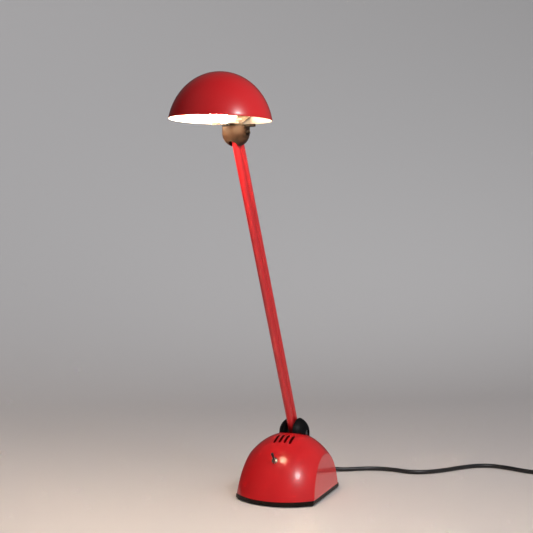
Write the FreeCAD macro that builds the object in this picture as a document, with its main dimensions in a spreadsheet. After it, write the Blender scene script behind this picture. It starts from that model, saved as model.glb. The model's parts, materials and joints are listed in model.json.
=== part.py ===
import FreeCAD, Part
import math
import os
import re

import Sketcher

# Desk lamp with a swivelling turret, a twin-tube arm and a domed shade.
# Frame: +X is the lamp's right, -Y its front, +Z up. The origin is on the table, under the
# middle of the base plate. Millimetres and degrees.

SIZES = {
    # base plate and feet
    "foot_height": 1.7,
    "foot_radius": 5.0,
    "foot_across": 40.3,
    "foot_along": 43.5,
    "plate_radius": 65.0,
    "plate_half_width": 46.45,
    "plate_thick": 4.25,
    # dome: an egg-shaped shell, leaning back, with two flat cheeks
    "dome_half_width": 63.1,
    "dome_half_depth": 65.6,
    "dome_half_height": 80.0,
    "dome_centre_back": -1.9,
    "dome_centre_up": -9.3,
    "dome_lean": 16.5,
    "dome_wall": 1.4,
    "cheek_draft": 4.64,
    "cheek_blend": 2.5,
    # bosses and their screws
    "boss_across": 34.0,
    "boss_along": 33.0,
    "boss_radius": 3.5,
    "boss_screw_radius": 1.5,
    "boss_screw_depth": 10.0,
    "screw_head_radius": 2.8,
    "screw_head_height": 1.5,
    # cooling slots in the dome
    "slot_width": 3.0,
    "slot_pitch": 6.1,
    "slot_front": -20.6,
    "slot_back": -7.3,
    # turret and its swivel
    "turret_radius": 17.8,
    "turret_back": 20.0,
    "pivot_height": 67.45,
    "turret_drop": 11.1,
    "turret_slot": 11.4,
    "turret_slot_floor": 8.0,
    "turret_swivel": 7.5,
    "well_gap": 0.3,
    "well_wall": 2.2,
    "well_floor": 53.5,
    "well_floor_thick": 2.0,
    "swivel_washer_thick": 0.8,
    "stud_radius": 5.0,
    "stud_bore": 3.0,
    "stud_length": 13.5,
    "stud_clearance": 0.08,
    "swivel_nut_across": 8.6,
    "swivel_nut_height": 4.0,
    "spring_washer_thick": 1.4,
    # arm
    "arm_length": 363.5,
    "arm_lean": 21.55,
    "tube_radius": 3.55,
    "tube_offset": 5.1,
    "tube_bore": 2.05,
    "web_half": 1.6,
    "tongue_length": 22.0,
    "tongue_taper": 14.0,
    "tongue_solid": 10.0,
    "tongue_end_radius": 5.5,
    "spigot_length": 10.0,
    "spigot_bore": 1.3,
    "arm_wire_radius": 1.1,
    # lower and upper pivots
    "pivot_bolt_radius": 2.5,
    "head_bolt_radius": 2.0,
    "pivot_clearance": 0.05,
    # joint cup under the shade
    "cup_radius": 14.5,
    "cup_top": 5.9,
    "cup_cheek": 12.6,
    "cup_slot": 8.6,
    "cup_cavity": 11.8,
    "cup_slot_front": 31.0,
    "cup_slot_back": 105.0,
    "tab_thick": 2.2,
    "tab_reach": 23.0,
    "tab_half_width": 4.0,
    # bracket, holder and bulb
    "bracket_half_width": 8.0,
    "bracket_thick": 1.0,
    "bracket_nose": 5.5,
    "bracket_bend": 15.0,
    "bracket_droop": 7.3,
    "bulb_height": 6.4,
    "bulb_radius": 4.2,
    "bulb_wall": 0.8,
    # shade
    "shade_ahead": 31.6,
    "shade_rim_up": 10.6,
    "shade_half_width": 54.1,
    "shade_half_height": 59.8,
    "shade_cut": 10.9,
    "shade_wall": 1.0,
    "shade_roll": 1.5,
    # toggle switch
    "switch_front": -44.0,
    "switch_height": 46.35,
    "switch_slope": 47.1,
    "switch_tilt": 9.0,
    "lever_pivot": 2.6,
    "lever_length": 11.2,
    # mains cord
    "cord_radius": 2.5,
    "cord_exit_up": 12.0,
    "relief_tip": 88.0,
    "coil_x": 326.0,
    "coil_y": 233.0,
    "coil_outer": 40.0,
    "coil_inner": 16.5,
    "coil_height": 10.0,
}

doc = FreeCAD.newDocument("desk_lamp")
sheet = doc.addObject("Spreadsheet::Sheet", "Sizes")
for row, (alias, size) in enumerate(SIZES.items(), start=1):
    sheet.set(f"A{row}", alias)
    sheet.set(f"B{row}", str(size))
    sheet.setAlias(f"B{row}", alias)
doc.recompute()

V = FreeCAD.Vector
Placement = FreeCAD.Placement
Rotation = FreeCAD.Rotation
UP = V(0, 0, 1)
AXES = {"X": V(1, 0, 0), "Y": V(0, 1, 0), "Z": UP, "-Y": V(0, -1, 0), "-X": V(-1, 0, 0),
        "-Z": V(0, 0, -1)}
nodes = []


# ---------------------------------------------------------------- helpers

def bound(expression):
    """Prefix every size's alias with the sheet's name."""
    return re.sub(r"[a-z_]+", lambda m: "Sizes." + m.group(0) if m.group(0) in SIZES else m.group(0),
                  str(expression))


def num(expression):
    return float(sheet.evalExpression(bound(expression)))


def point(x, y, z):
    return V(num(x), num(y), num(z))


def turned(axis, angle):
    return Placement(V(), Rotation(axis, num(angle)))


def moved(x, y, z):
    return Placement(point(x, y, z), Rotation())


def aimed(base, axis):
    direction = AXES[axis] if isinstance(axis, str) else axis
    return Placement(point(*base), Rotation(UP, direction))


def keep(obj, label):
    obj.Label = label
    nodes.append(obj)
    return obj


def solid(kind, name, place, **sizes):
    obj = doc.addObject(kind, name)
    for prop, expression in sizes.items():
        obj.setExpression(prop, bound(expression))
    obj.Placement = place
    return obj


def box(name, place, x, y, z):
    return solid("Part::Box", name, place.multiply(moved(x[0], y[0], z[0])), Length=f"({x[1]}) - ({x[0]})",
                 Width=f"({y[1]}) - ({y[0]})", Height=f"({z[1]}) - ({z[0]})")


def rod(name, place, base, axis, radius, length):
    return solid("Part::Cylinder", name, place.multiply(aimed(base, axis)), Radius=radius, Height=length)


def cone(name, place, base, axis, start, end, length):
    return solid("Part::Cone", name, place.multiply(aimed(base, axis)), Radius1=start, Radius2=end,
                 Height=length)


def hexagon(name, place, base, axis, corner_radius, length):
    obj = solid("Part::Prism", name, place.multiply(aimed(base, axis)), Circumradius=corner_radius,
                Height=length)
    obj.Polygon = 6
    return obj


def ball(name, place, base, radius, low=-90, high=90):
    obj = solid("Part::Sphere", name, place.multiply(moved(*base)), Radius=radius)
    obj.Angle1 = low
    obj.Angle2 = high
    return obj


def fused(name, parts):
    obj = doc.addObject("Part::MultiFuse", name)
    obj.Shapes = parts
    return obj


def shared(name, first, second):
    obj = doc.addObject("Part::Common", name)
    obj.Base = first
    obj.Tool = second
    return obj


def cut(name, base, tools):
    obj = doc.addObject("Part::Cut", name)
    obj.Base = base
    obj.Tool = tools[0] if len(tools) == 1 else fused(name + "_tools", tools)
    return obj


def group(name, parts):
    obj = doc.addObject("Part::Compound", name)
    obj.Links = parts
    return obj


def ring(name, place, base, axis, outer, inner, length):
    return cut(name, rod(name + "_outer", place, base, axis, outer, length),
               [rod(name + "_inner", place, base, axis, inner, length)])


def four(across, along):
    return [(f"{i} * {across}", f"{j} * {along}") for i in (-1, 1) for j in (-1, 1)]


def body(label, place):
    obj = doc.addObject("PartDesign::Body", label)
    obj.Placement = place
    return keep(obj, label)


def sketch(owner, role, offset="0"):
    obj = owner.newObject("Sketcher::SketchObject", owner.Name + "_sketch")
    plane = next(item for item in owner.Origin.OriginFeatures if item.Role == role)
    obj.AttachmentSupport = [(plane, "")]
    obj.MapMode = "FlatFace"
    obj.setExpression("AttachmentOffset.Base.z", bound(offset))
    return obj


def pin(sk, geometry, vertex, axis, expression):
    """Fix one coordinate of a sketch point to an expression of the sheet."""
    value = num(expression)
    if abs(value) < 1e-9:
        sk.addConstraint(Sketcher.Constraint("PointOnObject", geometry, vertex, -2 if axis == "X" else -1))
        return
    ends = (-1, 1, geometry, vertex) if value > 0 else (geometry, vertex, -1, 1)
    index = sk.addConstraint(Sketcher.Constraint("Distance" + axis, *ends, abs(value)))
    sign = "" if value > 0 else "-1 * "
    sk.setExpression(f"Constraints[{index}]", f"{sign}({bound(expression)})")


def circles(sk, items):
    for x, y, radius in items:
        index = sk.addGeometry(Part.Circle(V(num(x), num(y), 0), UP, num(radius)), False)
        pin(sk, index, 3, "X", x)
        pin(sk, index, 3, "Y", y)
        constraint = sk.addConstraint(Sketcher.Constraint("Radius", index, num(radius)))
        sk.setExpression(f"Constraints[{constraint}]", bound(radius))


def polygon(sk, corners):
    points = [V(num(x), num(y), 0) for x, y in corners]
    first = sk.GeometryCount
    count = len(points)
    for i in range(count):
        sk.addGeometry(Part.LineSegment(points[i], points[(i + 1) % count]), False)
    for i in range(count):
        sk.addConstraint(Sketcher.Constraint("Coincident", first + i, 2, first + (i + 1) % count, 1))
    for i, (x, y) in enumerate(corners):
        pin(sk, first + i, 1, "X", x)
        pin(sk, first + i, 1, "Y", y)


def rectangle(sk, x, y):
    polygon(sk, [(x[0], y[0]), (x[1], y[0]), (x[1], y[1]), (x[0], y[1])])


def pad(owner, sk, length, both_ways=False):
    obj = owner.newObject("PartDesign::Pad", owner.Name + "_pad")
    obj.Profile = sk
    obj.setExpression("Length", bound(length))
    if both_ways:
        obj.SideType = "Symmetric"
    return obj


def pocket(owner, sk, one_way=False):
    """Cut a sketch through everything, both ways or along its normal, and check that it cut."""
    doc.recompute()
    before = owner.Shape.Volume
    obj = owner.newObject("PartDesign::Pocket", owner.Name + "_pocket")
    obj.Profile = sk
    obj.SideType = "One side" if one_way else "Symmetric"
    obj.Reversed = one_way
    obj.Type = "ThroughAll"
    doc.recompute()
    if owner.Shape.Volume > before - 1:
        raise RuntimeError(f"{obj.Name} cut nothing")
    return obj


def route(points, radius):
    """A tube along straight runs joined by arcs as large as the runs allow."""
    points = [V(*p) for p in points]
    edges = []
    bends = []
    start = points[0]
    for before, corner, after in zip(points, points[1:], points[2:]):
        run_in = corner - before
        run_out = after - corner
        half = run_in.getAngle(run_out) / 2
        trim = 0.45 * min(run_in.Length, run_out.Length)
        bends.append(trim / math.tan(half))
        first = corner - run_in.normalize() * trim
        last = corner + run_out.normalize() * trim
        centre_line = (first + last) * 0.5 - corner
        middle = corner + centre_line.normalize() * (bends[-1] / math.cos(half) - bends[-1])
        edges += [Part.LineSegment(start, first).toShape(), Part.Arc(first, middle, last).toShape()]
        start = last
    edges.append(Part.LineSegment(start, points[-1]).toShape())
    path = Part.Wire(edges)
    section = Part.Wire([Part.Circle(points[0], points[1] - points[0], radius).toShape()])
    tube = path.makePipeShell([section], True, False)
    ratio = tube.Volume / (math.pi * radius ** 2 * path.Length)
    return tube, path.Length, bends, ratio


def cord(label, points, radius):
    tube, length, bends, ratio = route(points, radius)
    radii = ", ".join(f"{bend:.0f}" for bend in bends)
    print(f"{label}: {length:.1f} mm, volume ratio {ratio:.4f}, radii {radii}")
    obj = doc.addObject("Part::Feature", label)
    obj.Shape = tube
    obj.Placement = Placement()
    return obj


# ---------------------------------------------------------------- frames of the moving parts

BASE = Placement()
PIVOT = moved(0, "turret_back", "pivot_height")
TURRET = PIVOT.multiply(turned(UP, "-1 * turret_swivel"))
ARM = TURRET.multiply(turned(AXES["X"], "arm_lean"))
HEAD = Placement(ARM.multVec(point(0, 0, "arm_length")), TURRET.Rotation)
LAMP = HEAD.multiply(turned(AXES["Y"], "shade_roll"))
SWITCH = moved(0, "switch_front", "switch_height").multiply(turned(AXES["X"], "switch_slope"))
LEVER = SWITCH.multiply(moved(0, 0, "lever_pivot")).multiply(turned(AXES["X"], "-1 * switch_tilt"))
BRACKET_TOP = "cup_top + tab_thick + bracket_thick"
BULB = HEAD.multiply(moved(0, "-1 * bracket_bend", BRACKET_TOP)).multiply(turned(AXES["X"], "bracket_droop"))
PLATE_TOP = "foot_height + plate_thick"
HOLDER_SCREWS = ("-2", "-9")
RIVET_AXIS = V(0, 0.9355, 0.3534)
RIVETS = [(-4.5, 14.2, 22.9), (4.5, 14.2, 22.9)]


# ---------------------------------------------------------------- base

def dome_solid(name, inset):
    """The egg-shaped dome between its two cheeks, made smaller all round by the inset."""
    egg = solid("Part::Ellipsoid", name + "_egg",
                moved(0, "dome_centre_back", "dome_centre_up").multiply(turned(AXES["X"], "-1 * dome_lean")),
                Radius1=f"dome_half_height - {inset}", Radius2=f"dome_half_width - {inset}",
                Radius3=f"dome_half_depth - {inset}")
    # a wedge with drafted sides, stood upright on the plate
    top = "plate_half_width - 90 * tan(cheek_draft)"
    wedge = solid("Part::Wedge", name + "_wedge",
                  moved(0, 0, PLATE_TOP).multiply(turned(AXES["X"], 90)),
                  Xmin=f"-1 * (plate_half_width - {inset})", Xmax=f"plate_half_width - {inset}",
                  X2min=f"-1 * ({top} - {inset})", X2max=f"{top} - {inset}",
                  Ymin="0", Ymax="90", Zmin="-90", Zmax="90", Z2min="-90", Z2max="90")
    return shared(name, egg, wedge)


def cheek_edges(shape):
    """The two long edges where the cheeks meet the egg."""
    edges = []
    for index, edge in enumerate(shape.Edges, start=1):
        box_of = edge.BoundBox
        if box_of.ZLength > 20 and abs(box_of.Center.x) > 30:
            edges.append(index)
    return edges


def base_shell():
    sharp = dome_solid("dome_outer", "0")
    doc.recompute()
    outer = doc.addObject("Part::Fillet", "dome_blended")
    outer.Base = sharp
    outer.Edges = [(index, SIZES["cheek_blend"], SIZES["cheek_blend"]) for index in cheek_edges(sharp.Shape)]
    inner = dome_solid("dome_inner", "dome_wall")
    hollow = cut("dome_hollow", outer, [inner])

    posts = [rod(f"boss_{i}", BASE, (x, y, PLATE_TOP), "Z", "boss_radius", "45")
             for i, (x, y) in enumerate(four("boss_across", "boss_along"))]
    well = rod("well_outer", BASE, (0, "turret_back", "well_floor"), "Z",
               "turret_radius + well_gap + well_wall", "20")
    stiffeners = shared("shell_stiffeners", fused("shell_posts", posts + [well]),
                        dome_solid("dome_limit", "dome_wall / 2"))
    walls = fused("shell_walls", [hollow, stiffeners])

    slots = []
    for i in range(4):
        x = f"{i - 1.5} * slot_pitch"
        slots.append(box(f"slot_{i}", BASE, (f"{x} - slot_width / 2", f"{x} + slot_width / 2"),
                         ("slot_front", "slot_back"), ("50", "80")))
        for j, end in enumerate(("slot_front", "slot_back")):
            slots.append(rod(f"slot_end_{i}_{j}", BASE, (x, end, 50), "Z", "slot_width / 2", "30"))
    pilots = [rod(f"boss_hole_{i}", BASE, (x, y, PLATE_TOP), "Z", "boss_screw_radius", "boss_screw_depth")
              for i, (x, y) in enumerate(four("boss_across", "boss_along"))]
    well_bore = rod("well_bore", BASE, (0, "turret_back", "well_floor + well_floor_thick"), "Z",
                    "turret_radius + well_gap", "30")
    stud_hole = rod("stud_hole", BASE, (0, "turret_back", "well_floor - 1"), "Z",
                    "stud_radius + stud_clearance", "10")
    switch_hole = rod("switch_hole", SWITCH, (0, 0, -6), "Z", "2.4", "12")
    cord_hole = rod("cord_hole", BASE, (0, 55, "cord_exit_up"), "Y", "4.5", "20")
    tools = slots + pilots + [well_bore, stud_hole, switch_hole, cord_hole]
    keep(cut("base_shell", walls, tools), "base_shell")


def base_plate():
    plate = body("base_plate", moved(0, 0, "foot_height"))
    disc = sketch(plate, "XY_Plane")
    circles(disc, [("0", "0", "plate_radius")])
    pad(plate, disc, "plate_thick")
    sides = sketch(plate, "XY_Plane")
    along = ("-1 * plate_radius", "plate_radius")
    rectangle(sides, ("plate_half_width", "plate_radius + 5"), along)
    rectangle(sides, ("-1 * plate_radius - 5", "-1 * plate_half_width"), along)
    pocket(plate, sides)
    holes = sketch(plate, "XY_Plane")
    circles(holes, [(x, y, "boss_screw_radius") for x, y in four("boss_across", "boss_along")])
    circles(holes, [(x, y, "boss_screw_radius") for x, y in four("22.5", "18")])
    pocket(plate, holes)
    sinks = sketch(plate, "XY_Plane")
    circles(sinks, [(x, y, "screw_head_radius") for x, y in four("boss_across", "boss_along")])
    circles(sinks, [(x, y, "screw_head_radius") for x, y in four("22.5", "18")])
    recess = plate.newObject("PartDesign::Pocket", "screw_recess")
    recess.Profile = sinks
    recess.Reversed = True
    recess.setExpression("Length", bound("screw_head_height"))


def rubber_feet():
    feet = [cone(f"foot_{i}", BASE, (x, y, 0), "Z", "foot_radius - 0.5", "foot_radius", "foot_height")
            for i, (x, y) in enumerate(four("foot_across", "foot_along"))]
    keep(group("rubber_feet", feet), "rubber_feet")


def plate_screw(name, x, y, shank):
    head = rod(name + "_head", BASE, (x, y, "foot_height"), "Z", "screw_head_radius", "screw_head_height")
    stem = rod(name + "_stem", BASE, (x, y, "foot_height"), "Z", "boss_screw_radius", shank)
    socket = hexagon(name + "_socket", BASE, (x, y, "foot_height"), "Z", "1.1", "1")
    return cut(name, fused(name + "_whole", [head, stem]), [socket])


def base_plate_screws():
    length = "plate_thick + boss_screw_depth"
    screws = [plate_screw(f"plate_screw_{i}", x, y, length)
              for i, (x, y) in enumerate(four("boss_across", "boss_along"))]
    keep(group("base_plate_screws", screws), "base_plate_screws")


def transformer():
    """An EI transformer, stood on spacers, with its coil around the middle leg."""
    low, middle, high = "15.5", "26.5", "37.5"
    core = box("core_block", BASE, ("-27", "27"), ("-22.5", "22.5"), (low, high))
    windows = [box(f"core_window_{i}", BASE, (f"{a}", f"{b}"), ("-13.5", "13.5"), ("10", "40"))
               for i, (a, b) in enumerate(((-18, -9), (9, 18)))]
    corners = four("22.5", "18")
    bores = [rod(f"core_bore_{i}", BASE, (x, y, 10), "Z", "boss_screw_radius", "35")
             for i, (x, y) in enumerate(corners)]
    keep(cut("transformer_core", core, windows + bores), "transformer_core")

    def sleeve(name, y, half_x, half_z, hole_x, hole_z):
        def block(part, width, height):
            return box(f"{name}_{part}", BASE, (f"-{width}", width), y,
                       (f"{middle} - {height}", f"{middle} + {height}"))

        whole = block("whole", half_x, half_z)
        hole = block("hole", hole_x, hole_z)
        return cut(name, whole, [hole])

    bobbin = [sleeve("bobbin_tube", ("-13.5", "13.5"), "10.2", "12.2", "9", "11")]
    bobbin += [sleeve(f"bobbin_flange_{i}", (f"{y} - 0.6", f"{y} + 0.6"), "17.8", "18.5", "9", "11")
               for i, y in enumerate(("-12.9", "0", "12.9"))]
    keep(fused("transformer_bobbin", bobbin), "transformer_bobbin")
    for label, y in (("primary_winding", ("0.6", "12.3")), ("secondary_winding", ("-12.3", "-0.6"))):
        keep(sleeve(label, y, "17.2", "17.9", "10.2", "12.2"), label)

    spacers = [ring(f"spacer_{i}", BASE, (x, y, PLATE_TOP), "Z", "3.6", "boss_screw_radius",
                    f"15.5 - ({PLATE_TOP})") for i, (x, y) in enumerate(corners)]
    keep(group("transformer_spacers", spacers), "transformer_spacers")
    screws = [plate_screw(f"core_screw_{i}", x, y, "39") for i, (x, y) in enumerate(corners)]
    keep(group("transformer_screws", screws), "transformer_screws")
    nuts = [cut(f"core_nut_{i}", hexagon(f"core_nut_whole_{i}", BASE, (x, y, high), "Z", "3.2", "2.4"),
                [rod(f"core_nut_bore_{i}", BASE, (x, y, high), "Z", "boss_screw_radius", "3")])
            for i, (x, y) in enumerate(corners)]
    keep(group("transformer_nuts", nuts), "transformer_nuts")


def wiring():
    """Terminal block, cord clamp, the cord's inner end and the leads."""
    block = box("block_whole", BASE, ("-13", "13"), ("31", "45"), (PLATE_TOP, "17.5"))
    wells = [rod(f"block_well_{i}", BASE, (x, f"38 + {y}", 12), "Z", "1.6", "8")
             for i, (x, y) in enumerate(four("6.5", "3.5"))]
    keep(cut("terminal_block", block, wells), "terminal_block")
    screws = [rod(f"terminal_screw_{i}", BASE, (x, f"38 + {y}", 12), "Z", "1.6", "4.5")
              for i, (x, y) in enumerate(four("6.5", "3.5"))]
    keep(group("terminal_screws", screws), "terminal_screws")

    saddle = box("clamp_block", BASE, ("-11", "11"), ("49", "55"), (PLATE_TOP, "17.5"))
    channel = rod("clamp_channel", BASE, (0, 48, "cord_exit_up"), "Y", "cord_radius", "8")
    keep(cut("cord_clamp", saddle, [channel]), "cord_clamp")
    inner = rod("inner_cord", BASE, (0, 45, "cord_exit_up"), "Y", "cord_radius", "relief_tip - 45")
    keep(inner, "inner_cord")

    flange = rod("relief_flange", BASE, (0, 59.6, "cord_exit_up"), "Y", "5.6", "1.6")
    root = rod("relief_root", BASE, (0, 59.6, "cord_exit_up"), "Y", "4.5", "7")
    taper = cone("relief_taper", BASE, (0, 65.3, "cord_exit_up"), "Y", "5.9", "3.3", "relief_tip - 65.3")
    bore = rod("relief_bore", BASE, (0, 50, "cord_exit_up"), "Y", "cord_radius", "60")
    grooves = [ring(f"relief_groove_{i}", BASE, (0, f"{69 + 3.6 * i}", "cord_exit_up"), "Y", "8",
                    f"{4.6 - 0.4 * i}", "1.4") for i in range(5)]
    sleeve = fused("relief_whole", [flange, root, taper])
    keep(cut("strain_relief", sleeve, [bore] + grooves), "strain_relief")

    leads = [rod(f"primary_lead_{i}", BASE, (x, "13.5", "11"), "Y", "0.9", "17.5")
             for i, x in enumerate((-6, 6))]
    keep(group("primary_leads", leads), "primary_leads")
    path = [(-1, -35.6, 33.4), (-10, -34.8, 32.8), (-20, -32, 29), (-28, -25, 24), (-31.5, -13, 19),
            (-32.5, 2, 15), (-31, 16, 12.5), (-26.5, 28, 11.5), (-20, 35, 11), (-13, 38, 11)]
    keep(cord("switch_leads", path, 1.1), "switch_leads")


def toggle_switch():
    """A miniature toggle: body under the shell, threaded bushing through it, nut and washer on top."""
    housing = box("switch_block", SWITCH, ("-4", "4"), ("-6.5", "6.5"), ("-11.5", "-2.4"))
    throat = rod("switch_throat", SWITCH, (0, 0, -6), "Z", "1.7", "4")
    keep(cut("switch_body", housing, [throat]), "switch_body")
    lugs = [box(f"lug_{i}", SWITCH, ("-1", "1"), (f"{y} - 0.4", f"{y} + 0.4"), ("-15", "-11.5"))
            for i, y in enumerate((-4.2, 0, 4.2))]
    keep(group("switch_terminals", lugs), "switch_terminals")
    keep(ring("switch_bushing", SWITCH, (0, 0, -2.4), "Z", "2.3", "1.7", "6.6"), "switch_bushing")
    keep(ring("switch_washer", SWITCH, (0, 0, 0), "Z", "3.4", "2.3", "0.4"), "switch_washer")
    nut = hexagon("switch_nut_whole", SWITCH, (0, 0, 0.4), "Z", "3.35", "1.7")
    keep(cut("switch_nut", nut, [rod("switch_nut_bore", SWITCH, (0, 0, 0), "Z", "2.3", "4")]), "switch_nut")
    stem = cone("lever_stem", LEVER, (0, 0, -3), "Z", "0.8", "1", "3")
    bat = cone("lever_bat", LEVER, (0, 0, 0), "Z", "1", "1.6", "lever_length - 1.6")
    tip = ball("lever_tip", LEVER, (0, 0, "lever_length - 1.6"), "1.6")
    keep(fused("switch_lever", [stem, bat, tip]), "switch_lever")


# ---------------------------------------------------------------- turret

def pivot_hardware(frame, prefix, bolt_radius, bolt_from, head_at, washer):
    """Friction washers on each side of a tongue, between it and the walls of its slot."""
    thick, outer = washer
    rings = []
    for i, side in enumerate(("X", "-X")):
        start = "tube_radius + pivot_clearance" if side == "X" else "-1 * (tube_radius + pivot_clearance)"
        rings.append(ring(f"{prefix}_washer_{i}", frame, (start, 0, 0), side, outer, bolt_radius, thick))
    keep(group(f"{prefix}_washers", rings), f"{prefix}_washers")
    return rod(f"{prefix}_shank", frame, (bolt_from, 0, 0), "X", bolt_radius, f"{head_at} - ({bolt_from})")


def turret():
    crown = ball("turret_crown", TURRET, (0, 0, 0), "turret_radius", 0, 90)
    skirt = rod("turret_skirt", TURRET, (0, 0, "-1 * turret_drop"), "Z", "turret_radius", "turret_drop")
    slot = box("turret_gap", TURRET, ("-1 * turret_slot / 2", "turret_slot / 2"), ("-20", "20"),
               ("-1 * turret_slot_floor", "20"))
    stud_seat = rod("stud_seat", TURRET, (0, 0, "-1 * turret_drop - 1"), "Z", "stud_radius", "8")
    bolt_hole = rod("turret_bolt_hole", TURRET, (-20, 0, 0), "X", "pivot_bolt_radius", "40")
    head_recess = rod("bolt_head_recess", TURRET, (11.5, 0, 0), "X", "4.6", "10")
    nut_recess = rod("bolt_nut_recess", TURRET, (-11.5, 0, 0), "-X", "4.8", "10")
    hollows = [slot, stud_seat, bolt_hole, head_recess, nut_recess]
    keep(cut("turret_housing", fused("turret_whole", [crown, skirt]), hollows), "turret_housing")

    stud_top = "-1 * turret_slot_floor"
    keep(ring("swivel_stud", TURRET, (0, 0, f"{stud_top} - stud_length"), "Z", "stud_radius", "stud_bore",
              "stud_length"), "swivel_stud")
    under_floor = "well_floor - pivot_height - 0.05"
    keep(ring("swivel_spring_washer", TURRET, (0, 0, f"{under_floor} - spring_washer_thick"), "Z", "8",
              "stud_radius", "spring_washer_thick"), "swivel_spring_washer")
    nut_base = f"{under_floor} - spring_washer_thick - swivel_nut_height"
    nut = hexagon("swivel_nut_whole", TURRET, (0, 0, nut_base), "Z", "swivel_nut_across",
                  "swivel_nut_height")
    bore = rod("swivel_nut_bore", TURRET, (0, 0, nut_base), "Z", "stud_radius", "6")
    keep(cut("swivel_nut", nut, [bore]), "swivel_nut")
    leads = [rod(f"swivel_lead_{i}", TURRET, (x, 0, f"{stud_top} - stud_length"), "Z", "0.9",
                 "stud_length + 2") for i, x in enumerate((-1.3, 1.3))]
    keep(group("swivel_leads", leads), "swivel_leads")

    shank = pivot_hardware(TURRET, "pivot", "pivot_bolt_radius", "-15", "12", ("2.1", "7.5"))
    head = rod("pivot_head", TURRET, (11.5, 0, 0), "X", "4.3", "4")
    socket = hexagon("pivot_socket", TURRET, (13.5, 0, 0), "X", "2.3", "3")
    keep(cut("pivot_bolt", fused("pivot_bolt_whole", [shank, head]), [socket]), "pivot_bolt")
    nut = hexagon("pivot_nut_whole", TURRET, (-11.5, 0, 0), "-X", "4.5", "3.4")
    hole = rod("pivot_nut_bore", TURRET, (-11, 0, 0), "-X", "pivot_bolt_radius", "5")
    keep(cut("pivot_nut", nut, [hole]), "pivot_nut")


def swivel_washer():
    keep(ring("swivel_washer", BASE, (0, "turret_back", "well_floor + well_floor_thick"), "Z", "16",
              "stud_radius + stud_clearance", "swivel_washer_thick"), "swivel_washer")


# ---------------------------------------------------------------- arm

def arm_profile():
    """Two tubes joined by a web, one above the other in the plane that the arm swings in."""
    profile = body("arm_profile", ARM.multiply(moved(0, 0, "tongue_length")))
    length = "arm_length - 2 * tongue_length"
    tubes = [("0", "tube_offset"), ("0", "-1 * tube_offset")]
    lobes = sketch(profile, "XY_Plane")
    circles(lobes, [(x, y, "tube_radius") for x, y in tubes])
    web = sketch(profile, "XY_Plane")
    rectangle(web, ("-1 * web_half", "web_half"), ("-1 * tube_offset", "tube_offset"))
    pad(profile, web, length)
    pad(profile, lobes, length)
    bores = sketch(profile, "XY_Plane")
    circles(bores, [(x, y, "tube_bore") for x, y in tubes])
    pocket(profile, bores)


def tongue(label, place, bolt_radius):
    """An end piece with the arm's own section, filled in and tapered to a round end about the pivot."""
    width = "tube_offset + tube_radius"
    blade = doc.addObject("PartDesign::Body", label + "_blade")
    blade.Placement = place
    eye = sketch(blade, "YZ_Plane")
    circles(eye, [("0", "0", "tongue_end_radius")])
    pad(blade, eye, "2 * tube_radius", True)
    outline = sketch(blade, "YZ_Plane")
    polygon(outline, [("-1 * tongue_end_radius", "0"), ("tongue_end_radius", "0"), (width, "tongue_taper"),
                      (width, "tongue_length"), (f"-1 * ({width})", "tongue_length"),
                      (f"-1 * ({width})", "tongue_taper")])
    pad(blade, outline, "2 * tube_radius", True)
    hole = sketch(blade, "YZ_Plane")
    circles(hole, [("0", "0", f"{bolt_radius} + pivot_clearance")])
    pocket(blade, hole)

    edges = ("-1 * tube_offset", "tube_offset")
    low = "-1 * tongue_end_radius - 1"
    rounds = [rod(f"{label}_edge_{i}", place, (0, y, low), "Z", "tube_radius",
                  "tongue_length + tongue_end_radius + 1") for i, y in enumerate(edges)]
    middle = box(f"{label}_middle", place, ("-1 * tube_radius", "tube_radius"), edges, (low, "tongue_solid"))
    web = box(f"{label}_web", place, ("-1 * web_half", "web_half"), edges, ("0", "tongue_length"))
    rounded = shared(f"{label}_rounded", blade, fused(f"{label}_section", rounds + [middle, web]))
    spigots = [rod(f"{label}_spigot_{i}", place, (0, y, "tongue_length"), "Z", "tube_bore", "spigot_length")
               for i, y in enumerate(edges)]
    bores = [rod(f"{label}_wire_bore_{i}", place, (0, y, "tongue_taper"), "Z", "spigot_bore",
                 "tongue_length - tongue_taper + spigot_length") for i, y in enumerate(edges)]
    keep(cut(label, fused(f"{label}_whole", [rounded] + spigots), bores), label)


def arm():
    arm_profile()
    tongue("lower_tongue", ARM, "pivot_bolt_radius")
    far_end = ARM.multiply(moved(0, 0, "arm_length")).multiply(turned(AXES["X"], 180))
    tongue("upper_tongue", far_end, "head_bolt_radius")
    wires = [rod(f"arm_wire_{i}", ARM, (0, y, "tongue_taper"), "Z", "arm_wire_radius",
                 "arm_length - 2 * tongue_taper") for i, y in enumerate(("-1 * tube_offset", "tube_offset"))]
    keep(group("arm_wires", wires), "arm_wires")


# ---------------------------------------------------------------- head

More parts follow.
